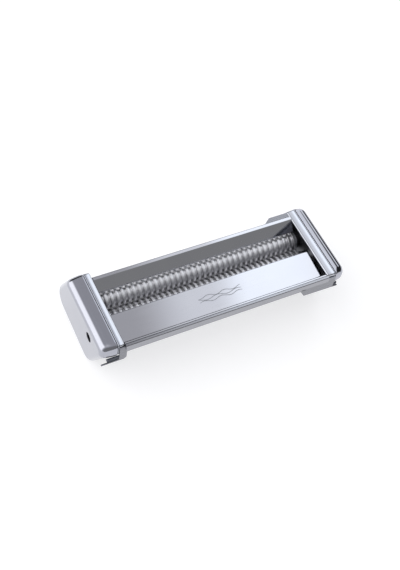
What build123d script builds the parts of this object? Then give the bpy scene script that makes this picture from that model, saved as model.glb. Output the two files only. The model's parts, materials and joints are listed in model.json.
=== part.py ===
"""Spaghetti cutter head for a hand-cranked pasta machine, in millimetres.

The head lies along X with its drive side at -X. Its origin is under the middle of its box,
on the surface that it stands on. Y runs from the guide plate to the rear wall, and Z is up.
"""
from math import acos, cos, hypot, pi, radians, sin, tan
import os

from build123d import *

os.makedirs("parts", exist_ok=True)

# ---- overall ------------------------------------------------------------------------------
LENGTH = 180.6                    # outer face to outer face of the two covers
TOP_Z = 45.0                      # level of the covers, the rims and the rails
GEAR_COVER_DEPTH = 11.4           # along X
END_COVER_DEPTH = 8.2
LEFT_RIM = 4.8                    # width of each end frame's rolled rim, along X
RIGHT_RIM = 6.6
SHEET = 1.2                       # end frames
SKIN = 0.8                        # shells, rails and guides
COVER_SKIN = 1.0
GEAR_COVER_EDGE = 3.2             # radius round each cover's outer face
END_COVER_EDGE = 3.4
FRAME_INSET = 0.3                 # end frames' outline inside the covers' outline
FRAME_EDGE = 0.5                  # radius round each end frame's outer face
CLEARANCE = 0.1                   # between sheet parts, and round screws in their holes

LEFT_FACE = -LENGTH / 2
RIGHT_FACE = LENGTH / 2
LEFT_SEAM = LEFT_FACE + GEAR_COVER_DEPTH
RIGHT_SEAM = RIGHT_FACE - END_COVER_DEPTH
LEFT_WALL = LEFT_SEAM + SHEET     # inner faces of the end frames
RIGHT_WALL = RIGHT_SEAM - SHEET
LEFT_LIP = LEFT_SEAM + LEFT_RIM   # inner edges of the rims
RIGHT_LIP = RIGHT_SEAM - RIGHT_RIM

# ---- side profile: a parallelogram that leans back as it goes down, as (y, z) --------------
FRONT_Y = -38.2
TOP_FRONT = (FRONT_Y, TOP_Z)
KNEE = (FRONT_Y, 35.3)
FOOT = (-17.3, -0.33)
HEEL = (45.0, 5.4)
TOP_REAR = (22.2, TOP_Z)
PROFILE = [TOP_FRONT, KNEE, FOOT, HEEL, TOP_REAR]
PROFILE_RADII = [2.5, 4.0, 6.0, 8.0, 3.0]
FRONT_SLOPE = (KNEE[1] - FOOT[1]) / (FOOT[0] - KNEE[0])      # fall per mm towards the rear
REAR_SLOPE = (TOP_Z - HEEL[1]) / (HEEL[0] - TOP_REAR[0])

# ---- rollers and gears ---------------------------------------------------------------------
MODULE = 1.0
ROLLER_TEETH = 17
CRANK_TEETH = 18
PRESSURE_ANGLE = radians(25)
BACKLASH = 0.2
ROLLER_SPACING = MODULE * ROLLER_TEETH
ROLLER_TILT = radians(14.0)       # the rear roller lies higher than the front one
REAR_AXIS = (11.1, 24.2)          # axes as (y, z)
FRONT_AXIS = (
    REAR_AXIS[0] - ROLLER_SPACING * cos(ROLLER_TILT),
    REAR_AXIS[1] - ROLLER_SPACING * sin(ROLLER_TILT),
)
CRANK_REACH = MODULE * (ROLLER_TEETH + CRANK_TEETH) / 2
CRANK_ANGLE = radians(134.1)      # from the front roller's axis, measured from +Y towards +Z
CRANK_AXIS = (
    FRONT_AXIS[0] + CRANK_REACH * cos(CRANK_ANGLE),
    FRONT_AXIS[1] + CRANK_REACH * sin(CRANK_ANGLE),
)

CROWN_R = 9.1                     # over the cutting ridges
CORE_R = 6.9                      # in the grooves
RIDGE_PITCH = 4.0
RIDGE_WIDTH = 1.9
RIDGE_CHAMFER = 0.15
REAR_RIDGES = 38
FRONT_RIDGES = REAR_RIDGES - 1
RIDGE_MIDDLE = 2.1                # x of the middle of both ridge rows
BODY_LEFT = LEFT_WALL + 2.0       # ends of both roller bodies
BODY_RIGHT = RIGHT_WALL - 2.0
JOURNAL_R = 4.0
RUNNING_GAP = 0.04                # radial, journals in bushes

GEAR_LEFT = LEFT_SEAM - 7.5
GEAR_WIDTH = 5.0
SHAFT_LEFT = LEFT_SEAM - 9.0
SHAFT_RIGHT = RIGHT_SEAM + 3.6
BUSH_OUTER_R = 5.5
BUSH_FLANGE_R = 6.4
BUSH_FLANGE = 1.6
BUSH_REACH = 1.5                  # past the outer face of the frame

# ---- crank shaft ---------------------------------------------------------------------------
SOCKET_R = 3.1
SOCKET_DEPTH = 12.0
CRANK_SHAFT_R = 5.2
CRANK_SHAFT_LEFT = LEFT_FACE + COVER_SKIN + 0.5
CRANK_BUSH_RIGHT = LEFT_SEAM + 3.0
CRANK_SHAFT_RIGHT = CRANK_BUSH_RIGHT + 1.6
CRANK_HOLE_R = 3.5                # in the gear cover
CRANK_BUSH_R = 7.0
SLOT_WIDTH = 2.2                  # drive slot across the mouth of the socket
SLOT_DEPTH = 2.0

# ---- retaining rings and keys --------------------------------------------------------------
RING_THICKNESS = 0.8
RING_GROOVE = 0.6                 # depth of the groove
RING_WIDTH = 2.0
KEY = 1.6
KEY_LENGTH = 4.0

# ---- strippers, rods and small parts -------------------------------------------------------
FINGER_WIDTH = 1.5
FINGER_GAP = 0.4                  # from the groove's floor
BAR_DROP = 8.8                    # comb bars below the roller axes
BAR_OUT = 9.2                     # and out to either side of them
BAR_SIZE = (5.0, 3.0)
ROD_R = 2.5
ROD_THREAD_R = 2.0
ROD_PLACES = [(-22.5, 18.5), (24.5, 26.5), (30.5, 13.0)]
NUT_FLATS = 7.0
NUT_HEIGHT = 3.0
SCREW_R = 1.5
SCREW_HEAD_R = 2.7
SCREW_HEAD = 1.6
SCREW_LENGTH = 6.0


def at(x):
    """Side-view plane at x: its own X is the model's Y, and its own Y is the model's Z."""
    return Plane.YZ.offset(x)


def side_outline(inset=0.0):
    """Face of the side profile, drawn in inwards by inset."""
    with BuildSketch(Plane.XY, mode=Mode.PRIVATE) as outline:
        with BuildLine():
            FilletPolyline(*PROFILE, radius=PROFILE_RADII, close=True)
        make_face()
        if inset:
            offset(amount=-inset)
    return outline.sketch


def keep(name, builder):
    """Label a finished piece and write its STEP."""
    builder.part.label = name
    export_step(builder.part, f"parts/{name}.step")


def block(x_range, y_range, z_range):
    """Box between two corners, for a part that adds or cuts it."""
    size = [high - low for low, high in (x_range, y_range, z_range)]
    middle = [(high + low) / 2 for low, high in (x_range, y_range, z_range)]
    return Pos(*middle) * Box(*size, mode=Mode.PRIVATE)


# ---- end frames: stamped plates with a rolled rim all round --------------------------------
def end_frame(name, seam, inward, rim):
    """Plate at the seam, its rim turned inward (+1 or -1 along X)."""
    with BuildPart() as frame:
        with BuildSketch(at(seam)):
            add(side_outline(FRAME_INSET))
        extrude(amount=inward * rim)
        with BuildSketch(at(seam + inward * SHEET)):
            add(side_outline(FRAME_INSET + SHEET))
        extrude(amount=inward * rim, mode=Mode.SUBTRACT)
        with BuildSketch(at(seam)):
            with Locations(FRONT_AXIS, REAR_AXIS):
                Circle(BUSH_OUTER_R)
            with Locations(*ROD_PLACES):
                Circle(ROD_THREAD_R + CLEARANCE)
            with Locations(*bar_places()):
                Circle(SCREW_R + CLEARANCE)
            if inward > 0:
                with Locations(CRANK_AXIS):
                    Circle(CRANK_BUSH_R)
        extrude(amount=inward * SHEET, mode=Mode.SUBTRACT)
        outer_edges = frame.faces().sort_by(Axis.X)[0 if inward > 0 else -1].outer_wire().edges()
        fillet(outer_edges, FRAME_EDGE)
    keep(name, frame)


def bar_places():
    """Middles of the two comb bars, as (y, z)."""
    return [
        (FRONT_AXIS[0] - BAR_OUT, FRONT_AXIS[1] - BAR_DROP),
        (REAR_AXIS[0] + BAR_OUT, REAR_AXIS[1] - BAR_DROP),
    ]


end_frame("left_end_frame", LEFT_SEAM, 1, LEFT_RIM)
end_frame("right_end_frame", RIGHT_SEAM, -1, RIGHT_RIM)


# ---- covers: drawn shells over the gears and over the free ends of the rollers -------------
def cover(name, seam, outward, depth, edge_radius, crank_hole):
    """Shell from the seam outwards (+1 or -1 along X), open at the seam."""
    with BuildPart() as shell:
        with BuildSketch(at(seam)):
            add(side_outline())
        extrude(amount=outward * depth)
        face_edges = shell.faces().sort_by(Axis.X)[-1 if outward > 0 else 0].edges()
        fillet(face_edges, edge_radius)
        with BuildPart(mode=Mode.PRIVATE) as hollow:
            with BuildSketch(at(seam)):
                add(side_outline(COVER_SKIN))
            extrude(amount=outward * (depth - COVER_SKIN))
            inner_edges = hollow.faces().sort_by(Axis.X)[-1 if outward > 0 else 0].edges()
            fillet(inner_edges, edge_radius - COVER_SKIN)
        add(hollow.part, mode=Mode.SUBTRACT)
        if crank_hole:
            with BuildSketch(at(seam)):
                with Locations(CRANK_AXIS):
                    Circle(CRANK_HOLE_R)
            extrude(amount=outward * depth, mode=Mode.SUBTRACT)
    keep(name, shell)


cover("gear_cover", LEFT_SEAM, -1, GEAR_COVER_DEPTH, GEAR_COVER_EDGE, True)
cover("end_cover", RIGHT_SEAM, 1, END_COVER_DEPTH, END_COVER_EDGE, False)


# ---- sheet parts: one bent path each, as seen from the side --------------------------------
def bent_sheet(name, path, bends, x_range, thickness=SKIN):
    """Strip of sheet along X whose section follows the path's middle line."""
    with BuildPart() as sheet:
        with BuildSketch(at(x_range[0])):
            with BuildLine():
                middle_line = FilletPolyline(*path, radius=bends)
            trace(middle_line.edges(), line_width=thickness)
        extrude(amount=x_range[1] - x_range[0])
    keep(name, sheet)


RAIL_RANGE = (LEFT_LIP + CLEARANCE, RIGHT_LIP - CLEARANCE)
RAIL_FRONT = FRONT_Y - 1.2        # middle of the front rail's outer leaf
RAIL_TOP = TOP_Z - SKIN / 2
RAIL_BACK = RAIL_FRONT + 1.8
bent_sheet(
    "front_rail",
    [(RAIL_FRONT, 40.2), (RAIL_FRONT, RAIL_TOP), (RAIL_BACK, RAIL_TOP), (RAIL_BACK, 35.6)],
    0.8,
    RAIL_RANGE,
)

PLATE_HEM = (RAIL_BACK + 1.1, 43.9)
PLATE_FRONT = (-33.6, 38.8)
PLATE_REAR = (-12.0, 40.2)
bent_sheet(
    "front_guide_plate",
    [PLATE_HEM, PLATE_FRONT, PLATE_REAR, (-9.5, 36.2)],
    [1.6, 0.7],
    (LEFT_LIP + 0.4, RIGHT_LIP - 0.6),
)

WALL_TOP = 15.2
bent_sheet(
    "rear_guide_wall",
    [(17.4, 41.4), (17.4, RAIL_TOP), (WALL_TOP, RAIL_TOP), (9.7, 36.5), (10.9, 35.6)],
    [0.9, 0.9, 0.6],
    RAIL_RANGE,
)


def behind_front(z, gap):
    """y of a point that lies gap behind the profile's front slope, at height z."""
    return KNEE[0] + (KNEE[1] - z) / FRONT_SLOPE + gap * hypot(1, 1 / FRONT_SLOPE)


def before_rear(z, gap):
    """y of a point that lies gap in front of the profile's rear slope, at height z."""
    return TOP_REAR[0] + (TOP_Z - z) / REAR_SLOPE - gap * hypot(1, 1 / REAR_SLOPE)


SHELL_RANGE = (LEFT_WALL + CLEARANCE, RIGHT_WALL - CLEARANCE)
SHELL_GAP = FRAME_INSET + SHEET + 0.5
REAR_SHELL_GAP = SHELL_GAP + 2.2  # far enough in to hide below the rear wall's top
bent_sheet(
    "front_shell",
    [
        (behind_front(33.0, SHELL_GAP), 33.0),
        (behind_front(6.5, SHELL_GAP), 6.5),
        (-10.9, 3.4),
        (-9.9, 6.4),
    ],
    [3.0, 0.6],
    SHELL_RANGE,
)
bent_sheet(
    "rear_shell",
    [
        (before_rear(35.5, REAR_SHELL_GAP), 35.5),
        (before_rear(9.2, REAR_SHELL_GAP), 9.2),
        (17.9, 6.0),
        (16.9, 8.8),
    ],
    [6.6, 0.6],
    SHELL_RANGE,
)
bent_sheet(
    "rear_foot_rail",
    [(20.7, 5.6), (20.7, SKIN / 2), (28.7, SKIN / 2), (28.7, 6.2)],
    0.8,
    (LEFT_LIP + 4, RIGHT_LIP - 4),
)


# ---- slide hooks: flat lugs that hang on the machine's side rails --------------------------
HOOK_Y = (FRONT_Y - SKIN, FRONT_Y)
with BuildPart() as left_front_hook:
    with BuildSketch(Plane.XZ.offset(-HOOK_Y[0])):
        with BuildLine():
            Polyline(
                (LEFT_SEAM + 0.9, 43.0),
                (LEFT_SEAM + 6.0, 43.0),
                (LEFT_SEAM + 6.0, 31.4),
                (LEFT_SEAM + 4.4, 29.6),
                (LEFT_FACE, 29.6),
                (LEFT_FACE, 30.4),
                (LEFT_SEAM + 0.9, 30.8),
                close=True,
            )
        make_face()
    extrude(amount=-SKIN)
keep("left_front_hook", left_front_hook)

with BuildPart() as right_front_hook:
    with BuildSketch(Plane.XZ.offset(-HOOK_Y[0])):
        with BuildLine():
            Polyline(
                (RIGHT_SEAM - 29.0, 42.0),
                (RIGHT_SEAM - 29.0, 40.0),
                (RIGHT_SEAM - 23.6, 31.2),
                (RIGHT_SEAM + 3.2, 30.3),
                (RIGHT_SEAM + 3.2, 30.9),
                (RIGHT_SEAM - 0.5, 31.0),
                (RIGHT_SEAM - 0.5, 42.0),
                close=True,
            )
        make_face()
        with Locations((RIGHT_SEAM - 25.0, 38.4)):
            SlotOverall(3.0, 0.8, mode=Mode.SUBTRACT)
    extrude(amount=-SKIN)
keep("right_front_hook", right_front_hook)


TAB_BACK = TOP_REAR[0] - 0.6       # rear edge of the tab
TAB_FRONT = TAB_BACK - 3.7
TAB_Z = TOP_Z - 1.0
TAB_LEG = 8.0
with BuildPart() as right_rear_hook:
    with BuildSketch(Plane.XY.offset(TAB_Z - SKIN)):
        with BuildLine():
            Polyline(
                (RIGHT_SEAM - 26.0, TAB_FRONT),
                (RIGHT_LIP - CLEARANCE, TAB_FRONT),
                (RIGHT_LIP - CLEARANCE, TAB_BACK),
                (RIGHT_SEAM - 21.0, TAB_BACK),
                close=True,
            )
        make_face()
    extrude(amount=SKIN)
    add(
        block(
            (RIGHT_LIP - CLEARANCE - SKIN, RIGHT_LIP - CLEARANCE),
            (TAB_FRONT, TAB_BACK),
            (TAB_Z - TAB_LEG, TAB_Z),
        )
    )
keep("right_rear_hook", right_rear_hook)


def slide_shoe(name, x_range):
    """Moulded shoe that fills the corner between a cover's knee and the hook's lip."""
    with BuildPart() as shoe:
        with BuildSketch(at(x_range[0])):
            with BuildLine():
                Polyline(
                    (FRONT_Y - 0.6, 31.0),
                    (FRONT_Y - 0.6, 34.6),
                    (FRONT_Y + 0.1, 34.9),
                    (behind_front(31.0, -0.3), 31.0),
                    close=True,
                )
            make_face()
        extrude(amount=x_range[1] - x_range[0])
        fillet(shoe.edges().filter_by(Axis.X).sort_by(Axis.Y)[:2], 0.4)
    keep(name, shoe)


slide_shoe("left_slide_shoe", (LEFT_SEAM - 7.2, LEFT_SEAM + 0.8))
slide_shoe("right_slide_shoe", (RIGHT_SEAM + 0.2, RIGHT_SEAM + 2.0))


# ---- gears ---------------------------------------------------------------------------------
def gear_outline(teeth, phase):
    """Points round an involute gear, with the middle of one tooth at the angle phase."""
    pitch_r = MODULE * teeth / 2
    base_r = pitch_r * cos(PRESSURE_ANGLE)
    tip_r = pitch_r + MODULE
    root_r = pitch_r - 1.25 * MODULE
    half_tooth = pi / (2 * teeth) - BACKLASH / (4 * pitch_r)
    involute_at_pitch = tan(PRESSURE_ANGLE) - PRESSURE_ANGLE
    flank = []
    steps = 6
    for step in range(steps + 1):
        r = base_r + (tip_r - base_r) * step / steps
        roll = acos(min(1.0, base_r / r))
        half_angle = half_tooth + involute_at_pitch - (tan(roll) - roll)
        flank.append((r, half_angle))
    flank.insert(0, (root_r, flank[0][1] + 0.02))
    points = []
    for tooth in range(teeth):
        middle = phase + 2 * pi * tooth / teeth
        for r, half_angle in flank:
            points.append((r * cos(middle - half_angle), r * sin(middle - half_angle)))
        for r, half_angle in reversed(flank):
            points.append((r * cos(middle + half_angle), r * sin(middle + half_angle)))
    return points


def keyway(axis, shaft_r, x_left):
    """Space of the key: half in the shaft, half in the gear, at the top of the shaft."""
    middle_z = axis[1] + shaft_r
    return block(
        (x_left, x_left + KEY_LENGTH),
        (axis[0] - KEY / 2, axis[0] + KEY / 2),
        (middle_z - KEY / 2, middle_z + KEY / 2),
    )


def gear(name, axis, teeth, phase, bore_r):
    """Spur gear with a plain bore and a keyway."""
    points = [(axis[0] + y, axis[1] + z) for y, z in gear_outline(teeth, phase)]
    with BuildPart() as wheel:
        with BuildSketch(at(GEAR_LEFT)):
            with BuildLine():
                Polyline(*points, close=True)
            make_face()
        extrude(amount=GEAR_WIDTH)
        with BuildSketch(at(GEAR_LEFT)):
            with Locations(axis):
                Circle(bore_r)
        extrude(amount=GEAR_WIDTH, mode=Mode.SUBTRACT)
        add(keyway(axis, bore_r, GEAR_LEFT + 0.5), mode=Mode.SUBTRACT)
    keep(name, wheel)


REAR_PHASE = ROLLER_TILT + pi + pi / ROLLER_TEETH
CRANK_PHASE = (
    CRANK_ANGLE
    + pi
    + pi / CRANK_TEETH
    + ROLLER_TEETH / CRANK_TEETH * (CRANK_ANGLE - ROLLER_TILT)
)
gear("front_roller_gear", FRONT_AXIS, ROLLER_TEETH, ROLLER_TILT, JOURNAL_R)
gear("rear_roller_gear", REAR_AXIS, ROLLER_TEETH, REAR_PHASE, JOURNAL_R)
gear("crank_gear", CRANK_AXIS, CRANK_TEETH, CRANK_PHASE, CRANK_SHAFT_R)

for key_name, key_axis, key_shaft_r in (
    ("front_roller_key", FRONT_AXIS, JOURNAL_R),
    ("rear_roller_key", REAR_AXIS, JOURNAL_R),
    ("crank_key", CRANK_AXIS, CRANK_SHAFT_R),
):
    with BuildPart() as key:
        add(keyway(key_axis, key_shaft_r, GEAR_LEFT + 0.5))
    keep(key_name, key)


# ---- cutting rollers -----------------------------------------------------------------------
def ridge_places(count):
    """x of the middle of each ridge of a row."""
    return [RIDGE_MIDDLE + (i - (count - 1) / 2) * RIDGE_PITCH for i in range(count)]


def cutting_roller(name, axis, ridge_count):
    """Grooved roller turned from bar, with a journal at each end."""
    half = RIDGE_WIDTH / 2
    cut = RIDGE_CHAMFER
    turning_plane = Plane(origin=(0, axis[0], axis[1]), x_dir=(1, 0, 0), z_dir=(0, -1, 0))
    with BuildPart() as roller:
        with BuildSketch(turning_plane):
            with Locations(((BODY_LEFT + BODY_RIGHT) / 2, CORE_R / 2)):
                Rectangle(BODY_RIGHT - BODY_LEFT, CORE_R)
            with Locations(((SHAFT_LEFT + SHAFT_RIGHT) / 2, JOURNAL_R / 2)):
                Rectangle(SHAFT_RIGHT - SHAFT_LEFT, JOURNAL_R)
            for x in ridge_places(ridge_count):
                with BuildLine():
                    Polyline(
                        (x - half, CORE_R - 1),
                        (x - half, CROWN_R - cut),
                        (x - half + cut, CROWN_R),
                        (x + half - cut, CROWN_R),
                        (x + half, CROWN_R - cut),
                        (x + half, CORE_R - 1),
                        close=True,
                    )
                make_face()
        revolve(axis=Axis((0, axis[0], axis[1]), (1, 0, 0)))
        for ring_x in roller_ring_places():
            add(ring_groove(axis, JOURNAL_R, ring_x), mode=Mode.SUBTRACT)
        add(keyway(axis, JOURNAL_R, GEAR_LEFT + 0.5), mode=Mode.SUBTRACT)
    keep(name, roller)


def roller_ring_places():
    """x of the low side of each retaining ring on a roller's journals."""
    return [GEAR_LEFT - RING_THICKNESS, RIGHT_SEAM + BUSH_REACH + CLEARANCE]


def ring_groove(axis, shaft_r, x):
    """Space of a retaining ring's groove, to be cut from a shaft."""
    with BuildPart(mode=Mode.PRIVATE) as groove:
        with BuildSketch(at(x)):
            with Locations(axis):
                Circle(shaft_r + 1)
                Circle(shaft_r - RING_GROOVE, mode=Mode.SUBTRACT)
        extrude(amount=RING_THICKNESS)
    return groove.part


def retaining_rings(name, axis, shaft_r, places):
    """Open spring rings, one at each place, with their gap at the bottom."""
    with BuildPart() as rings:
        with BuildSketch(*[at(x) for x in places]):
            with Locations(axis):
                Circle(shaft_r - RING_GROOVE + RING_WIDTH)
                Circle(shaft_r - RING_GROOVE, mode=Mode.SUBTRACT)
            with Locations((axis[0], axis[1] - shaft_r)):
                Rectangle(shaft_r, shaft_r, mode=Mode.SUBTRACT)
        extrude(amount=RING_THICKNESS)
    keep(name, rings)


cutting_roller("front_cutting_roller", FRONT_AXIS, FRONT_RIDGES)
cutting_roller("rear_cutting_roller", REAR_AXIS, REAR_RIDGES)
retaining_rings("front_roller_rings", FRONT_AXIS, JOURNAL_R, roller_ring_places())
retaining_rings("rear_roller_rings", REAR_AXIS, JOURNAL_R, roller_ring_places())


# ---- crank shaft: a socket for the crank handle, with its gear keyed on --------------------
CRANK_RING_X = CRANK_BUSH_RIGHT + CLEARANCE
with BuildPart() as crank_shaft:
    with BuildSketch(at(CRANK_SHAFT_LEFT)):
        with Locations(CRANK_AXIS):
            Circle(CRANK_SHAFT_R)
    extrude(amount=CRANK_SHAFT_RIGHT - CRANK_SHAFT_LEFT)
    with BuildSketch(at(CRANK_SHAFT_LEFT)):
        with Locations(CRANK_AXIS):
            Circle(SOCKET_R)
    extrude(amount=SOCKET_DEPTH, mode=Mode.SUBTRACT)
    with BuildSketch(at(CRANK_SHAFT_LEFT)):
        with Locations(CRANK_AXIS):
            Rectangle(3 * CRANK_SHAFT_R, SLOT_WIDTH)
    extrude(amount=SLOT_DEPTH, mode=Mode.SUBTRACT)
    add(ring_groove(CRANK_AXIS, CRANK_SHAFT_R, CRANK_RING_X), mode=Mode.SUBTRACT)
    add(keyway(CRANK_AXIS, CRANK_SHAFT_R, GEAR_LEFT + 0.5), mode=Mode.SUBTRACT)
keep("crank_shaft", crank_shaft)
retaining_rings("crank_ring", CRANK_AXIS, CRANK_SHAFT_R, [CRANK_RING_X])


# ---- bushes --------------------------------------------------------------------------------
def bush(name, axis, bore_r, outer_r, flange_r, x_range, flange_x):
    """Flanged plain bush, pressed into an end frame."""
    with BuildPart() as sleeve:
        with BuildSketch(at(x_range[0])):
            with Locations(axis):
                Circle(outer_r)
        extrude(amount=x_range[1] - x_range[0])
        with BuildSketch(at(flange_x)):
            with Locations(axis):
                Circle(flange_r)
        extrude(amount=BUSH_FLANGE)
        with BuildSketch(at(x_range[0])):
            with Locations(axis):
                Circle(bore_r)
        extrude(amount=x_range[1] - x_range[0], mode=Mode.SUBTRACT)
    keep(name, sleeve)


for side_name, side_axis in (("front", FRONT_AXIS), ("rear", REAR_AXIS)):
    bush(
        f"left_{side_name}_bush",
        side_axis,
        JOURNAL_R + RUNNING_GAP,
        BUSH_OUTER_R,
        BUSH_FLANGE_R,
        (LEFT_SEAM - BUSH_REACH, LEFT_WALL + BUSH_FLANGE),
        LEFT_WALL,
    )
    bush(
        f"right_{side_name}_bush",
        side_axis,
        JOURNAL_R + RUNNING_GAP,
        BUSH_OUTER_R,
        BUSH_FLANGE_R,
        (RIGHT_WALL - BUSH_FLANGE, RIGHT_SEAM + BUSH_REACH),
        RIGHT_WALL - BUSH_FLANGE,
    )
bush(
    "crank_bush",
    CRANK_AXIS,
    CRANK_SHAFT_R + RUNNING_GAP,
    CRANK_BUSH_R,
    CRANK_BUSH_R + 1.0,
    (LEFT_SEAM - BUSH_REACH, CRANK_BUSH_RIGHT),
    LEFT_WALL,
)


# ---- strippers: combs whose fingers ride in the grooves under each roller ------------------
def stripper_comb(name, axis, side, grooves):
    """Comb with its bar on one side (-1 front, +1 rear) and its tips under the nip."""
    inner_r = CORE_R + FINGER_GAP
    tip = radians(-36)
    heel = radians(-138)
    middle = (tip + heel) / 2
    bar = (axis[0] + side * BAR_OUT, axis[1] - BAR_DROP)

    def polar(r, angle):
        return (axis[0] - side * r * cos(angle), axis[1] + r * sin(angle))

    with BuildPart() as comb:
        with BuildSketch(*[at(x - FINGER_WIDTH / 2) for x in grooves]):
            with BuildLine():
                ThreePointArc(polar(inner_r, tip), polar(inner_r, middle), polar(inner_r, heel))
                Polyline(
                    polar(inner_r, heel),
                    (bar[0] - side * 0.5, bar[1] + 1.2),
                    (bar[0] - side * 0.5, bar[1] - 1.2),
                    polar(CROWN_R + 1.6, radians(-75)),
                    polar(inner_r, tip),
                )
            make_face()
        extrude(amount=FINGER_WIDTH)
        with BuildSketch(at(LEFT_WALL)):
            with Locations(bar):
                Rectangle(*BAR_SIZE)
        extrude(amount=RIGHT_WALL - LEFT_WALL)
        with BuildSketch(at(LEFT_WALL), at(RIGHT_WALL - SCREW_LENGTH)):
            with Locations(bar):
                Circle(SCREW_R)
        extrude(amount=SCREW_LENGTH, mode=Mode.SUBTRACT)
    keep(name, comb)


front_grooves = ridge_places(REAR_RIDGES)[1:-1]
rear_grooves = ridge_places(FRONT_RIDGES)
stripper_comb("front_stripper_comb", FRONT_AXIS, -1, front_grooves)
stripper_comb("rear_stripper_comb", REAR_AXIS, 1, rear_grooves)

# ---- tie rods, nuts and screws -------------------------------------------------------------
for rod_name, rod_place in zip(("front_tie_rod", "upper_tie_rod", "lower_tie_rod"), ROD_PLACES):
    with BuildPart() as rod:
        with BuildSketch(at(LEFT_WALL)):
            with Locations(rod_place):
                Circle(ROD_R)
        extrude(amount=RIGHT_WALL - LEFT_WALL)
        with BuildSketch(at(LEFT_SEAM - NUT_HEIGHT - 0.6)):
            with Locations(rod_place):
                Circle(ROD_THREAD_R)
        extrude(amount=RIGHT_SEAM - LEFT_SEAM + 2 * (NUT_HEIGHT + 0.6))
    keep(rod_name, rod)

for nut_name, nut_x in (
    ("left_rod_nuts", LEFT_SEAM - NUT_HEIGHT),
    ("right_rod_nuts", RIGHT_SEAM),
):
    with BuildPart() as nuts:
        with BuildSketch(at(nut_x)):
            with Locations(*ROD_PLACES):
                RegularPolygon(NUT_FLATS / 2, 6, major_radius=False)
                Circle(ROD_THREAD_R, mode=Mode.SUBTRACT)
        extrude(amount=NUT_HEIGHT)
    keep(nut_name, nuts)

for screw_name, head_x, shank_x in (
    ("left_comb_screws", LEFT_SEAM - SCREW_HEAD, LEFT_SEAM),
    ("right_comb_screws", RIGHT_SEAM, RIGHT_SEAM - SCREW_LENGTH),
):
    with BuildPart() as screws:
        with BuildSketch(at(head_x)):
            with Locations(*bar_places()):
                Circle(SCREW_HEAD_R)
        extrude(amount=SCREW_HEAD)
        with BuildSketch(at(shank_x)):
            with Locations(*bar_places()):
                Circle(SCREW_R)
        extrude(amount=SCREW_LENGTH)
    keep(screw_name, screws)
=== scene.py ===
import json
import math

import bmesh
import bpy
from mathutils import Matrix, Vector


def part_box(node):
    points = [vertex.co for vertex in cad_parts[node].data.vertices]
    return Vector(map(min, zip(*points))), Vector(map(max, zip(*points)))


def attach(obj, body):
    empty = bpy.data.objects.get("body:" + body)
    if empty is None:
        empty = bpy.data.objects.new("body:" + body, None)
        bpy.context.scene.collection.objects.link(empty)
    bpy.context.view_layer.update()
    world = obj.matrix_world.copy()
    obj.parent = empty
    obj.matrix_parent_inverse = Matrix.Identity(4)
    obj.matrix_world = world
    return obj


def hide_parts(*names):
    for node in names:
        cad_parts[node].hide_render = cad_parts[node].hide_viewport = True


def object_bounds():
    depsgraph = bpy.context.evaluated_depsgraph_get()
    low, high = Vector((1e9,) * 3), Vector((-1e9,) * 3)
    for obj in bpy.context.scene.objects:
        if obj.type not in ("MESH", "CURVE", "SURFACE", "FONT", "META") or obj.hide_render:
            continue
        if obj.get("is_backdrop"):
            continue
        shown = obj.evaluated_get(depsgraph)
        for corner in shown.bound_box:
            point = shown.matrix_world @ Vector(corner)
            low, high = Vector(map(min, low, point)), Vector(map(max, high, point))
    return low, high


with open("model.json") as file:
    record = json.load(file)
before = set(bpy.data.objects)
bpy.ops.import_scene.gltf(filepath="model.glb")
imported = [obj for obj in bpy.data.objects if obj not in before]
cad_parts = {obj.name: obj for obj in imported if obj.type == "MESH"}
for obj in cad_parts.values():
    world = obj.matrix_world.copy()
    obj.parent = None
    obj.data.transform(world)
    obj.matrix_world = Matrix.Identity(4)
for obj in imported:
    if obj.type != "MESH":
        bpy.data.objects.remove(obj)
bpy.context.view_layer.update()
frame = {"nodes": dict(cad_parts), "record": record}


# ---- Drawn covers -------------------------------------------------------------------------
# The two end caps are deep-drawn from 1 mm sheet steel, polished and bright chrome plated. The
# gear cover hides the gears and has the crank hole; the end cover hides the rollers' free ends.
# Each is swept round the side profile from one section, and its outer face closes it.
MM = 0.001
MICRON = 1e-6


def srgb(hex_code):
    """Linear RGBA of an sRGB hex colour."""
    channels = [int(hex_code[i:i + 2], 16) / 255 for i in (1, 3, 5)]
    return [c / 12.92 if c <= 0.04045 else ((c + 0.055) / 1.055) ** 2.4 for c in channels] + [1.0]


def add_node(tree, kind, values={}, links={}, **settings):
    """Add a node with its settings, its sockets' values and the outputs that feed its sockets."""
    node = tree.nodes.new(kind)
    for name, value in settings.items():
        setattr(node, name, value)
    for socket, value in values.items():
        node.inputs[socket].default_value = value
    for socket, source in links.items():
        tree.links.new(source, node.inputs[socket])
    return node


def new_finish(name, metallic, roughness):
    """A material with its shader and the surface's own coordinates, ready for its pattern."""
    finish = bpy.data.materials.new(name)
    finish.use_nodes = True
    tree = finish.node_tree
    tree.nodes.clear()
    values = {"Metallic": metallic, "Roughness": roughness}
    shader = add_node(tree, "ShaderNodeBsdfPrincipled", values)
    add_node(tree, "ShaderNodeOutputMaterial", links={"Surface": shader.outputs["BSDF"]})
    place = add_node(tree, "ShaderNodeTexCoord").outputs["Object"]
    return finish, tree, shader, place


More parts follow.
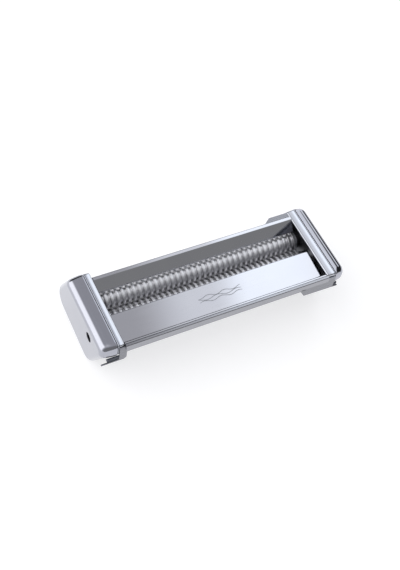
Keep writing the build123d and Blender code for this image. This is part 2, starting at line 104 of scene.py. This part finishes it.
def bright_chrome(name, plate, haze, gloss, ripple_mm, ripple_height_um):
    """Polished chrome plate: clouds of bluish haze, faint buffing marks and a pressed ripple.

    The haze and the marks are too weak to see one by one; they soften the reflections unevenly.
    """
    cloud_size = 18 * MM
    mark_length, mark_width = 20 * MM, 0.6 * MM
    finish, tree, shader, place = new_finish(name, 1.0, gloss[0])
    cloud = add_node(
        tree, "ShaderNodeTexNoise", {"Scale": 1 / cloud_size, "Detail": 3.0}, {"Vector": place}
    )
    colour = add_node(
        tree,
        "ShaderNodeMixRGB",
        {"Color1": srgb(plate), "Color2": srgb(haze)},
        {"Fac": cloud.outputs["Fac"]},
    )
    stretch = add_node(
        tree,
        "ShaderNodeMapping",
        {"Scale": (1 / mark_length, 1 / mark_width, 1 / mark_width)},
        {"Vector": place},
    )
    buffing = add_node(
        tree, "ShaderNodeTexNoise", {"Scale": 1.0, "Detail": 4.0}, {"Vector": stretch.outputs[0]}
    )
    polish = add_node(
        tree,
        "ShaderNodeMapRange",
        {"From Min": 0.35, "From Max": 0.75, "To Min": gloss[0], "To Max": gloss[1]},
        {"Value": buffing.outputs["Fac"]},
    )
    ripple = add_node(
        tree, "ShaderNodeTexNoise", {"Scale": 1000 / ripple_mm, "Detail": 1.0}, {"Vector": place}
    )
    bump = add_node(
        tree,
        "ShaderNodeBump",
        {"Strength": 1.0, "Distance": ripple_height_um * MICRON},
        {"Height": ripple.outputs["Fac"]},
    )
    tree.links.new(colour.outputs["Color"], shader.inputs["Base Color"])
    tree.links.new(polish.outputs["Result"], shader.inputs["Roughness"])
    tree.links.new(bump.outputs["Normal"], shader.inputs["Normal"])
    return finish


def coat(finish, *node_names):
    """Give CAD nodes their finish."""
    for name in node_names:
        frame["nodes"][name].data.materials[0] = finish


# Bright chrome over drawn steel: near mirror, its reflections a little wavy from the press.
cover_chrome = bright_chrome(
    "deep_drawn_bright_chrome", "#B2B3BB", "#ABADB7", (0.07, 0.13), 9.0, 6.0
)
side_corners = [(-38.2, 45.0), (-38.2, 35.3), (-17.3, -0.33), (45.0, 5.4), (22.2, 45.0)]
corner_radii = [2.5, 4.0, 6.0, 8.0, 3.0]
smallest_radius = 1.0 * MM


def side_outline(inset, softer=0.0, arc_steps=12):
    """Points (y, z) of the head's side profile, drawn inwards by inset, its corners as arcs."""
    corners = [Vector(corner) * MM for corner in side_corners]
    points = []
    for i, corner in enumerate(corners):
        radius = max(corner_radii[i] * MM + softer - inset, smallest_radius)
        to_last = (corners[i - 1] - corner).normalized()
        to_next = (corners[(i + 1) % len(corners)] - corner).normalized()
        half = to_last.angle(to_next) / 2
        inwards = (to_last + to_next).normalized()
        centre = corner + inwards * (inset + radius) / math.sin(half)
        first = (to_last / math.tan(half) - inwards / math.sin(half)).normalized()
        last = (to_next / math.tan(half) - inwards / math.sin(half)).normalized()
        for step in range(arc_steps + 1):
            points.append(centre + first.slerp(last, step / arc_steps) * radius)
    return points


def circle(middle, radius, steps=48):
    """Points (y, z) of a hole."""
    turns = [2 * math.pi * i / steps for i in range(steps)]
    return [Vector(middle) + Vector((math.cos(a), math.sin(a))) * radius for a in turns]


def flat_plate(x, thickness, outline, holes):
    """Mesh of a plate across X, from a filled flat curve."""
    curve = bpy.data.curves.new("plate", "CURVE")
    curve.dimensions = "2D"
    curve.fill_mode = "BOTH"
    curve.extrude = thickness / 2
    for loop in [outline] + holes:
        spline = curve.splines.new("POLY")
        spline.points.add(len(loop) - 1)
        for point, (y, z) in zip(spline.points, loop):
            point.co = (y, z, 0, 1)
        spline.use_cyclic_u = True
    drawing = bpy.data.objects.new("plate", curve)
    bpy.context.collection.objects.link(drawing)
    depsgraph = bpy.context.evaluated_depsgraph_get()
    mesh = bpy.data.meshes.new_from_object(drawing.evaluated_get(depsgraph))
    bpy.data.objects.remove(drawing)
    mesh.transform(Matrix(((0, 0, 1, x), (1, 0, 0, 0), (0, 1, 0, 0), (0, 0, 0, 1))))
    return mesh


def skin(rings):
    """Mesh of a closed tube through closed rings of points."""
    count = len(rings[0])
    vertices = [point for ring in rings for point in ring]
    faces = []
    for i in range(len(rings)):
        j = (i + 1) % len(rings)
        for k in range(count):
            m = (k + 1) % count
            faces.append((i * count + k, i * count + m, j * count + m, j * count + k))
    mesh = bpy.data.meshes.new("skin")
    mesh.from_pydata(vertices, [], faces)
    return mesh


def make_piece(name, meshes, *finishes, sharp_angle=35):
    """One object from closed meshes, outward faces; each mesh has its own finish, or the last.

    Meshes that meet edge to edge become one shell, and the doubled wall between them goes.
    """
    shell = bmesh.new()
    for i, mesh in enumerate(meshes):
        mesh.polygons.foreach_set(
            "material_index", [min(i, len(finishes) - 1)] * len(mesh.polygons)
        )
        shell.from_mesh(mesh)
    bmesh.ops.remove_doubles(shell, verts=shell.verts, dist=MICRON)
    inner_walls = [
        face for face in shell.faces
        if len(face.verts) == 4 and sum(len(edge.link_faces) > 2 for edge in face.edges) >= 2
    ]
    bmesh.ops.delete(shell, geom=inner_walls, context="FACES")
    bmesh.ops.recalc_face_normals(shell, faces=shell.faces)
    joined = bpy.data.meshes.new(name)
    shell.to_mesh(joined)
    shell.free()
    joined.shade_smooth()
    joined.set_sharp_from_angle(angle=math.radians(sharp_angle))
    for finish in finishes:
        joined.materials.append(finish)
    piece = bpy.data.objects.new(name, joined)
    bpy.context.collection.objects.link(piece)
    return piece


axes = {joint["name"]: joint["pos_m"][1:] for joint in frame["record"]["behaviour"]["joints"]}
front_axis = Vector(axes["front_roller_turn"])
rear_axis = Vector(axes["rear_roller_turn"])
crank_axis = Vector(axes["crank_turn"])

cover_wall = 1.0 * MM
edge_radius = 4.4 * MM
seam_softening, face_softening = 1.8 * MM, 3.8 * MM     # added to the corners' radii
crank_hole = circle(crank_axis, 3.5 * MM)


def cover_section(depth):
    """Section (depth from the seam, inset) of a drawn cover: hem, drafted wall, round edge."""
    wall, hem, draft, flat = cover_wall, 0.4 * MM, 0.5 * MM, 0.6 * MM
    outside = []
    for step in range(5):
        turn = math.radians(22.5 * step)
        outside.append((hem * (1 - math.cos(turn)), hem * (1 - math.sin(turn))))
    for step in range(1, 7):
        across = step / 6
        outside.append((hem + (depth - edge_radius - hem) * across, draft * across ** 2))
    for step in range(1, 13):
        turn = math.radians(7.5 * step)
        outside.append((
            depth - edge_radius * (1 - math.sin(turn)),
            draft + edge_radius * (1 - math.cos(turn)),
        ))
    outside.append((depth, draft + edge_radius + flat))
    inner = edge_radius - wall
    inside = [(depth - wall, draft + edge_radius + flat)]
    for step in range(12, -1, -2):
        turn = math.radians(7.5 * step)
        inside.append((
            depth - wall - inner * (1 - math.sin(turn)),
            draft + wall + inner * (1 - math.cos(turn)),
        ))
    return outside + inside + [(0, wall)]


for name, seam_end, outward, holes in (
    ("gear_cover", 1, -1, [crank_hole]),
    ("end_cover", 0, 1, []),
):
    low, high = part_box(name)
    seam, depth = (low, high)[seam_end][0], high[0] - low[0]
    section = cover_section(depth)
    rings = []
    for out, inset in section:
        grown = min(out / (depth - cover_wall), 1)
        softer = seam_softening + (face_softening - seam_softening) * grown
        rings.append([(seam + outward * out, *point) for point in side_outline(inset, softer)])
    face = flat_plate(
        seam + outward * (depth - cover_wall / 2), cover_wall,
        side_outline(max(inset for _, inset in section), face_softening), holes,
    )
    cover = make_piece("drawn_" + name, [skin(rings), face], cover_chrome)
    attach(cover, "body")
    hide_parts(name)

# ---- End frames ---------------------------------------------------------------------------
# Two stamped steel plates, chrome plated, that carry the rollers. Each has its rim rolled
# inwards all round: a fine bead beside the seam, then a broad band that falls away inwards.
# The rim is swept round the profile, and the plate in it is cut with all its holes.
# The rims' chrome is paler and smoother than the covers', so they read as the brightest lines.
frame_chrome = bright_chrome(
    "rolled_rim_chrome", "#C6C8CE", "#BFC2CA", (0.05, 0.10), 14.0, 4.0
)


def rim_section(width):
    """Section (depth from the seam, inset) of a rolled rim: seam edge, bead, band, inner edge."""
    inset, gap, seam_round, inner_round = 0.3 * MM, 0.4 * MM, 0.3 * MM, 0.6 * MM
    bead, band_drop = 1.35 * MM, 0.26 * MM
    points = []
    for step in range(6):
        turn = math.radians(18 * step)
        points.append((
            gap + seam_round * (1 - math.cos(turn)), inset + seam_round * (1 - math.sin(turn)),
        ))
    groove = gap + seam_round + 0.45 * MM
    points += [(groove - 0.2 * MM, inset), (groove, inset + 0.5 * MM), (bead, inset)]
    band = width - inner_round - bead
    for step in range(1, 13):
        across = step / 12
        points.append((bead + band * across, inset + band_drop * across ** 1.6))
    for step in range(1, 6):
        turn = math.radians(18 * step)
        points.append((
            width - inner_round * (1 - math.sin(turn)),
            inset + band_drop + inner_round * (1 - math.cos(turn)),
        ))
    lip = inset + sheet
    return points + [(width, lip - 0.1 * MM), (width - 0.1 * MM, lip), (gap, lip)]


# The plates are painted a dull dark grey in place of their chrome: painted shade, so that the rollers'
# ends stay dark.
plate_painted_shade = bright_chrome("plate_with_painted_shade", "#75767B", "#68696E", (0.30, 0.40), 8.0, 3.0)
sheet = 1.2 * MM
plate_inset = 1.4 * MM
rod_places = [(-22.5, 18.5), (24.5, 26.5), (30.5, 13.0)]
bar_out, bar_drop = 9.2 * MM, 8.8 * MM                  # comb bars from the roller axes
bush_hole, crank_bush_hole = 5.5 * MM, 7.0 * MM
rod_hole, screw_hole = 2.1 * MM, 1.6 * MM
for name, seam_end, inward in (("left_end_frame", 0, 1), ("right_end_frame", 1, -1)):
    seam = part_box(name)[seam_end][0]
    rim_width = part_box(name)[1][0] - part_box(name)[0][0]
    rings = [
        [(seam + inward * depth, *point) for point in side_outline(inset)]
        for depth, inset in rim_section(rim_width)
    ]
    holes = [circle(axis, bush_hole) for axis in (front_axis, rear_axis)]
    holes += [circle(Vector(place) * MM, rod_hole) for place in rod_places]
    holes += [
        circle((front_axis.x - bar_out, front_axis.y - bar_drop), screw_hole),
        circle((rear_axis.x + bar_out, rear_axis.y - bar_drop), screw_hole),
    ]
    if inward > 0:
        holes.append(circle(crank_axis, crank_bush_hole))
    plate = flat_plate(seam + inward * sheet / 2, sheet, side_outline(plate_inset), holes)
    # The plate inside each rim carries the dark grey painted shade.
    end_frame = make_piece("rolled_" + name, [skin(rings), plate], frame_chrome, plate_painted_shade)
    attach(end_frame, "body")
    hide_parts(name)
coat(frame_chrome, "rear_foot_rail")

# ---- Guide plate and shells ---------------------------------------------------------------
# Mirror-bright chromed sheet, folded along X: the plate that the dough slides down, the wall
# behind the rollers and the two shells. The front rail is duller, and three wavy strands are
# etched matt on the guide plate, as a ribbon each.
plate_chrome = bright_chrome(
    "mirror_chrome_sheet", "#C8C9CE", "#C2C3CA", (0.04, 0.09), 30.0, 5.0
)
coat(plate_chrome, "front_guide_plate", "rear_guide_wall", "front_shell", "rear_shell")
rail_chrome = bright_chrome(
    "dull_chrome_sheet", "#A6A7AC", "#9C9DA3", (0.12, 0.20), 12.0, 5.0
)
coat(rail_chrome, "front_rail")

plate_front = (-33.6 * MM, 39.2 * MM)                   # the guide plate's top, as (y, z)
plate_rise = 1.4 / 21.6
strand_left, strand_length = -14.5 * MM, 32 * MM
strand_wave, strand_width, strand_height = 0.8 * MM, 0.5 * MM, 0.03 * MM


def strand(middle_y, pitch, phase):
    """Mesh of one flat wavy ribbon on the guide plate, with rounded ends."""
    steps = 72
    rings = []
    for i in range(steps + 1):
        x = strand_left + strand_length * i / steps
        turn = 2 * math.pi * strand_length * i / steps / pitch + phase
        y = middle_y + strand_wave * math.sin(turn)
        half = strand_width / 2 * math.sqrt(max(0.02, 1 - (2 * i / steps - 1) ** 12))
        z = plate_front[1] + (y - plate_front[0]) * plate_rise
        low, high = z - strand_height, z + strand_height
        rings.append([(x, y - half, low), (x, y - half, high), (x, y + half, high), (x, y + half, low)])
    vertices = [point for ring in rings for point in ring]
    faces = [(0, 1, 2, 3), tuple(4 * steps + k for k in (3, 2, 1, 0))]
    for i in range(steps):
        for k in range(4):
            m = (k + 1) % 4
            faces.append((4 * i + k, 4 * i + 4 + k, 4 * i + 4 + m, 4 * i + m))
    mesh = bpy.data.meshes.new("strand")
    mesh.from_pydata(vertices, [], faces)
    return mesh


# Etched chrome scatters light: a soft grey on the bright plate.
etched_chrome = bright_chrome(
    "matt_etched_chrome", "#9FA1A6", "#96989E", (0.45, 0.55), 3.0, 2.0
)
strands = [
    strand(y * MM, pitch * MM, phase)
    for y, pitch, phase in ((-24.0, 13.0, 0.0), (-22.2, 15.0, 2.1), (-20.4, 12.2, 3.9))
]
strand_mark = make_piece("etched_strands", strands, etched_chrome)
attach(strand_mark, "body")

# ---- Hooks and shoes ----------------------------------------------------------------------
# The lugs that hang on the machine are stamped steel strip, dull nickel plated. A moulded
# nylon shoe under each front corner takes up the play; its near-black navy is partly painted
# shade, standing for the shaded recess under each hook.
hook_steel = bright_chrome("nickel_plated_strip", "#94959A", "#85868C", (0.24, 0.34), 5.0, 8.0)
coat(hook_steel, "left_front_hook", "right_front_hook", "right_rear_hook")


def moulded_nylon(name, fresh, worn, grain_mm):
    """Injection-moulded nylon: low sheen and a spark-eroded grain, paler in worn patches."""
    wear_size = 4 * MM
    finish, tree, shader, place = new_finish(name, 0.0, 0.45)
    shader.inputs["IOR"].default_value = 1.53
    grain = add_node(
        tree, "ShaderNodeTexNoise", {"Scale": 1000 / grain_mm, "Detail": 3.0}, {"Vector": place}
    )
    rub = add_node(
        tree, "ShaderNodeTexNoise", {"Scale": 1 / wear_size, "Detail": 4.0}, {"Vector": place}
    )
    wear = add_node(
        tree,
        "ShaderNodeMapRange",
        {"From Min": 0.5, "From Max": 0.75, "To Max": 0.6},
        {"Value": rub.outputs["Fac"]},
    )
    colour = add_node(
        tree,
        "ShaderNodeMixRGB",
        {"Color1": srgb(fresh), "Color2": srgb(worn)},
        {"Fac": wear.outputs["Result"]},
    )
    bump = add_node(
        tree,
        "ShaderNodeBump",
        {"Strength": 0.6, "Distance": 50 * MICRON},
        {"Height": grain.outputs["Fac"]},
    )
    tree.links.new(colour.outputs["Color"], shader.inputs["Base Color"])
    tree.links.new(bump.outputs["Normal"], shader.inputs["Normal"])
    return finish


# Near-black navy: the nylon's own colour, partly painted shade of the recess under each hook.
shoe_nylon_painted_shade = moulded_nylon("moulded_blue_nylon_painted_shade", "#121C30", "#2A3950", 0.35)
coat(shoe_nylon_painted_shade, "left_slide_shoe", "right_slide_shoe")

# ---- Bushes -------------------------------------------------------------------------------
# Five flanged bushes of dark glass-filled nylon, pressed into the end frames. They look
# almost black between the bright rims, with a soft sheen on their flanges.
bush_nylon = moulded_nylon("glass_filled_nylon", "#17171A", "#26262B", 0.25)
coat(
    bush_nylon,
    "crank_bush", "left_front_bush", "left_rear_bush", "right_front_bush", "right_rear_bush",
)


# ---- Rollers ------------------------------------------------------------------------------
# Two cutting rollers turned from steel bar and plated: square ridges that mesh to cut the
# sheet into strands. A node tree repeats the ridges along each roller, and turns with it.
def worked_steel(name, bright, dull, gloss, stroke_mm, along_x_mm):
    """Machined steel: tool marks, drawn coarser than real ones, uneven in colour and gloss."""
    finish, tree, shader, place = new_finish(name, 1.0, gloss[0])
    stretch = add_node(
        tree,
        "ShaderNodeMapping",
        {"Scale": (1000 / along_x_mm, 1000 / stroke_mm, 1000 / stroke_mm)},
        {"Vector": place},
    )
    marks = add_node(
        tree, "ShaderNodeTexNoise", {"Scale": 1.0, "Detail": 5.0}, {"Vector": stretch.outputs[0]}
    )
    colour = add_node(
        tree,
        "ShaderNodeMixRGB",
        {"Color1": srgb(bright), "Color2": srgb(dull)},
        {"Fac": marks.outputs["Fac"]},
    )
    polish = add_node(
        tree,
        "ShaderNodeMapRange",
        {"From Min": 0.3, "From Max": 0.7, "To Min": gloss[0], "To Max": gloss[1]},
        {"Value": marks.outputs["Fac"]},
    )
    bump = add_node(
        tree,
        "ShaderNodeBump",
        {"Strength": 0.5, "Distance": 20 * MICRON},
        {"Height": marks.outputs["Fac"]},
    )
    tree.links.new(colour.outputs["Color"], shader.inputs["Base Color"])
    tree.links.new(polish.outputs["Result"], shader.inputs["Roughness"])
    tree.links.new(bump.outputs["Normal"], shader.inputs["Normal"])
    return finish


# Pale satin steel, with turning marks round each ridge.
roller_steel = worked_steel("turned_plated_steel", "#E4E4E6", "#CBCBCF", (0.28, 0.38), 3.0, 0.25)
coat(roller_steel, "crank_shaft")


def ridged_roller_tree(finish):
    """Node tree of a roller: a turned body, its shaft and a row of cutting ridges along X."""
    tree = bpy.data.node_groups.new("ridged_roller", "GeometryNodeTree")
    sizes = {
        "Ridges": "Int", "Pitch": "Float", "First ridge": "Float", "Ridge width": "Float",
        "Edge radius": "Float", "Crown radius": "Float", "Core radius": "Float",
        "Body middle": "Vector", "Body length": "Float",
        "Shaft middle": "Vector", "Shaft length": "Float", "Shaft radius": "Float",
        "Axis": "Vector",
    }
    for name, kind in sizes.items():
        tree.interface.new_socket(name, in_out="INPUT", socket_type="NodeSocket" + kind)
    tree.interface.new_socket("Geometry", in_out="OUTPUT", socket_type="NodeSocketGeometry")
    size = add_node(tree, "NodeGroupInput").outputs
    height = add_node(
        tree, "ShaderNodeMath",
        links={0: size["Crown radius"], 1: size["Core radius"]}, operation="SUBTRACT",
    )
    ring_radius = add_node(
        tree, "ShaderNodeMath",
        links={0: size["Crown radius"], 1: height.outputs[0]}, operation="SUBTRACT",
    )
    ring_height = add_node(
        tree, "ShaderNodeMath", {1: 2.0}, {0: height.outputs[0]}, operation="MULTIPLY"
    )
    section = add_node(
        tree, "GeometryNodeCurvePrimitiveQuadrilateral",
        links={"Width": ring_height.outputs[0], "Height": size["Ridge width"]},
    )
    rounded = add_node(
        tree, "GeometryNodeFilletCurve", {"Count": 3},
        {"Curve": section.outputs[0], "Radius": size["Edge radius"]}, mode="POLY",
    )
    round_path = add_node(
        tree, "GeometryNodeCurvePrimitiveCircle", {"Resolution": 96},
        {"Radius": ring_radius.outputs[0]},
    )
    ridge = add_node(
        tree, "GeometryNodeCurveToMesh",
        links={"Curve": round_path.outputs[0], "Profile Curve": rounded.outputs[0]},
    )
    across = (0.0, math.pi / 2, 0.0)
    ridge_across = add_node(
        tree, "GeometryNodeTransform", {"Rotation": across}, {"Geometry": ridge.outputs[0]}
    )
    start = add_node(tree, "ShaderNodeCombineXYZ", links={"X": size["First ridge"]})
    step = add_node(tree, "ShaderNodeCombineXYZ", links={"X": size["Pitch"]})
    places = add_node(
        tree, "GeometryNodeMeshLine",
        links={
            "Count": size["Ridges"],
            "Start Location": start.outputs[0],
            "Offset": step.outputs[0],
        },
    )
    ridges = add_node(
        tree, "GeometryNodeInstanceOnPoints",
        links={"Points": places.outputs[0], "Instance": ridge_across.outputs[0]},
    )
    core = add_node(
        tree, "GeometryNodeMeshCylinder", {"Vertices": 96},
        {"Radius": size["Core radius"], "Depth": size["Body length"]},
    )
    core_across = add_node(
        tree, "GeometryNodeTransform", {"Rotation": across},
        {"Geometry": core.outputs[0], "Translation": size["Body middle"]},
    )
    shaft = add_node(
        tree, "GeometryNodeMeshCylinder", {"Vertices": 64},
        {"Radius": size["Shaft radius"], "Depth": size["Shaft length"]},
    )
    shaft_across = add_node(
        tree, "GeometryNodeTransform", {"Rotation": across},
        {"Geometry": shaft.outputs[0], "Translation": size["Shaft middle"]},
    )
    together = add_node(tree, "GeometryNodeJoinGeometry")
    for part in (shaft_across, core_across, ridges):
        tree.links.new(part.outputs[0], together.inputs[0])
    placed = add_node(
        tree, "GeometryNodeTransform",
        links={"Geometry": together.outputs[0], "Translation": size["Axis"]},
    )
    plain = add_node(tree, "GeometryNodeRealizeInstances", links={0: placed.outputs[0]})
    coated = add_node(
        tree, "GeometryNodeSetMaterial", {"Material": finish}, {"Geometry": plain.outputs[0]}
    )
    add_node(tree, "NodeGroupOutput", links={0: coated.outputs[0]})
    return tree


def grow(name, tree, sizes):
    """Run a node tree with its named sizes and return its plain mesh."""
    carrier = bpy.data.objects.new(name, bpy.data.meshes.new(name))
    bpy.context.collection.objects.link(carrier)
    nodes = carrier.modifiers.new(name, "NODES")
    nodes.node_group = tree
    for socket in tree.interface.items_tree:
        if socket.in_out == "INPUT":
            nodes[socket.identifier] = sizes[socket.name]
    depsgraph = bpy.context.evaluated_depsgraph_get()
    mesh = bpy.data.meshes.new_from_object(carrier.evaluated_get(depsgraph))
    bpy.data.objects.remove(carrier)
    mesh.materials.clear()
    return mesh


roller_tree = ridged_roller_tree(roller_steel)
ridge_pitch, ridge_width, ridge_edge = 4.0 * MM, 1.9 * MM, 0.18 * MM
ridge_middle = 2.1 * MM                                 # x of the middle of both ridge rows
groove_radius, shaft_radius = 6.9 * MM, 4.0 * MM
body_low, body_high = -75.7 * MM, 78.9 * MM
for name, body, axis, ridge_count in (
    ("front_cutting_roller", "front_roller", front_axis, 37),
    ("rear_cutting_roller", "rear_roller", rear_axis, 38),
):
    low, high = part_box(name)
    sizes = {
        "Ridges": ridge_count,
        "Pitch": ridge_pitch,
        "First ridge": ridge_middle - ridge_pitch * (ridge_count - 1) / 2,
        "Ridge width": ridge_width,
        "Edge radius": ridge_edge,
        "Crown radius": (high[2] - low[2]) / 2,
        "Core radius": groove_radius,
        "Body middle": ((body_low + body_high) / 2, 0.0, 0.0),
        "Body length": body_high - body_low,
        "Shaft middle": ((low[0] + high[0]) / 2, 0.0, 0.0),
        "Shaft length": high[0] - low[0],
        "Shaft radius": shaft_radius,
        "Axis": (0.0, axis.x, axis.y),
    }
    roller = make_piece("ridged_" + body, [grow(name, roller_tree, sizes)], roller_steel)
    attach(roller, body)
    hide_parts(name)

# ---- Drive --------------------------------------------------------------------------------
# Hobbed steel gears, keys and tie rods, left as machined: grey, a little dull, with fine
# strokes across the teeth. The retaining rings are blued spring steel.
gear_steel = worked_steel("hobbed_gear_steel", "#A9A9AB", "#8B8B8E", (0.28, 0.42), 0.3, 4.0)
coat(
    gear_steel,
    "front_roller_gear", "rear_roller_gear", "crank_gear",
    "front_roller_key", "rear_roller_key", "crank_key",
    "front_tie_rod", "upper_tie_rod", "lower_tie_rod",
)
ring_steel = worked_steel("blued_spring_steel", "#3B3E46", "#2A2C33", (0.30, 0.42), 0.6, 0.6)
coat(ring_steel, "front_roller_rings", "rear_roller_rings", "crank_ring")

# ---- Combs and fasteners ------------------------------------------------------------------
# The stripper combs are stamped from cold-rolled strip, grained along X. Nuts and screws are
# zinc plated, a little bluer and rougher than the rest.
comb_steel = worked_steel("stamped_comb_steel", "#BDBDC0", "#9B9B9F", (0.25, 0.36), 0.5, 6.0)
coat(comb_steel, "front_stripper_comb", "rear_stripper_comb")
zinc = worked_steel("zinc_plated_steel", "#B9BCC4", "#A3A5A6", (0.26, 0.4), 0.8, 0.8)
coat(zinc, "left_rod_nuts", "right_rod_nuts", "left_comb_screws", "right_comb_screws")

# ---- Studio -------------------------------------------------------------------------------
# A white table under a soft, uneven dome: bright on the left and high on the right, dim above,
# in front and at the far right, so that the chrome has light and dark bands to reflect.
table_drop = 0.2 * MM                                   # keeps the table clear of the foot
bpy.ops.mesh.primitive_plane_add(size=30, location=(0, 0, -table_drop))
table = bpy.context.object
table.name = "table"
table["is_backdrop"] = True
table_white, tree, shader, place = new_finish("matt_white_laminate", 0.0, 0.7)
grain = add_node(
    tree, "ShaderNodeTexNoise", {"Scale": 1 / (50 * MM), "Detail": 2.0}, {"Vector": place}
)
paper = add_node(
    tree,
    "ShaderNodeMixRGB",
    {"Color1": srgb("#B4B4B6"), "Color2": srgb("#B0B0B2")},
    {"Fac": grain.outputs["Fac"]},
)
tree.links.new(paper.outputs["Color"], shader.inputs["Base Color"])
shader.inputs["Emission Color"].default_value = srgb("#FFFFFF")
shader.inputs["Emission Strength"].default_value = 0.62
table.data.materials.append(table_white)

scene = bpy.context.scene
scene.world = bpy.data.worlds.new("studio_dome")
scene.world.use_nodes = True
dome = scene.world.node_tree
dome.nodes.clear()
direction = add_node(
    dome,
    "ShaderNodeSeparateXYZ",
    links={"Vector": add_node(dome, "ShaderNodeTexCoord").outputs["Generated"]},
)


def soft_edge(axis, start, end):
    """Mask that rises softly from 0 at start to 1 at end, along one axis of the direction."""
    return add_node(
        dome,
        "ShaderNodeMapRange",
        {"From Min": start, "From Max": end},
        {"Value": direction.outputs[axis]},
        interpolation_type="SMOOTHSTEP",
    ).outputs["Result"]


def both(first, second):
    """Product of two masks."""
    return add_node(
        dome, "ShaderNodeMath", links={0: first, 1: second}, operation="MULTIPLY"
    ).outputs[0]


def lay_over(light, colour, strength, mask):
    """Lay a lit area of the dome over what is there."""
    shade = [c * strength for c in srgb(colour)[:3]] + [1.0]
    return add_node(
        dome, "ShaderNodeMixRGB", {"Color2": shade}, {"Color1": light, "Fac": mask}
    ).outputs["Color"]


# Laid over a dim top: bands to the right, near black past them, the front, the left, the back.
dome_top = add_node(dome, "ShaderNodeRGB")
dome_top.outputs[0].default_value = [c * 0.57 for c in srgb("#FAFAFF")[:3]] + [1.0]
light = dome_top.outputs[0]
light = lay_over(light, "#F8FAFF", 1.10, soft_edge("X", 0.27, 0.33))
light = lay_over(light, "#F4F9FF", 1.70, soft_edge("X", 0.35, 0.385))
light = lay_over(light, "#FAFCFF", 1.38, soft_edge("X", 0.43, 0.47))
light = lay_over(light, "#FFFFFF", 0.03, soft_edge("X", 0.67, 0.76))
light = lay_over(light, "#FFFFFF", 0.30, soft_edge("Y", -0.50, -0.75))
left_side = both(soft_edge("X", 0.05, -0.45), soft_edge("Y", -0.6, -0.2))
light = lay_over(light, "#FFFFFF", 2.0, left_side)
light = lay_over(light, "#FFFFFF", 0.06, soft_edge("Y", 0.80, 0.90))
background = add_node(dome, "ShaderNodeBackground", links={"Color": light})
add_node(dome, "ShaderNodeOutputWorld", links={"Surface": background.outputs[0]})

# ---- Camera -------------------------------------------------------------------------------
# It looks down on the head from its front left, with the gear cover nearest. Its place and its
# three axes are given in the shared frame, in metres.
camera = bpy.data.objects.new("camera", bpy.data.cameras.new("camera"))
camera.data.lens = 62.9
camera_place = Vector((-0.23445, -0.33140, 0.57432))
right = Vector((0.8939, -0.4321, 0.1194))
up = Vector((0.2904, 0.7611, 0.5800))
look = Vector((0.3415, 0.4838, -0.8058))
turn = Matrix((right, up, -look)).transposed().to_4x4()
camera.matrix_world = Matrix.Translation(camera_place) @ turn
scene.collection.objects.link(camera)
scene.camera = camera
scene.view_settings.view_transform = "Standard"

low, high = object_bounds()
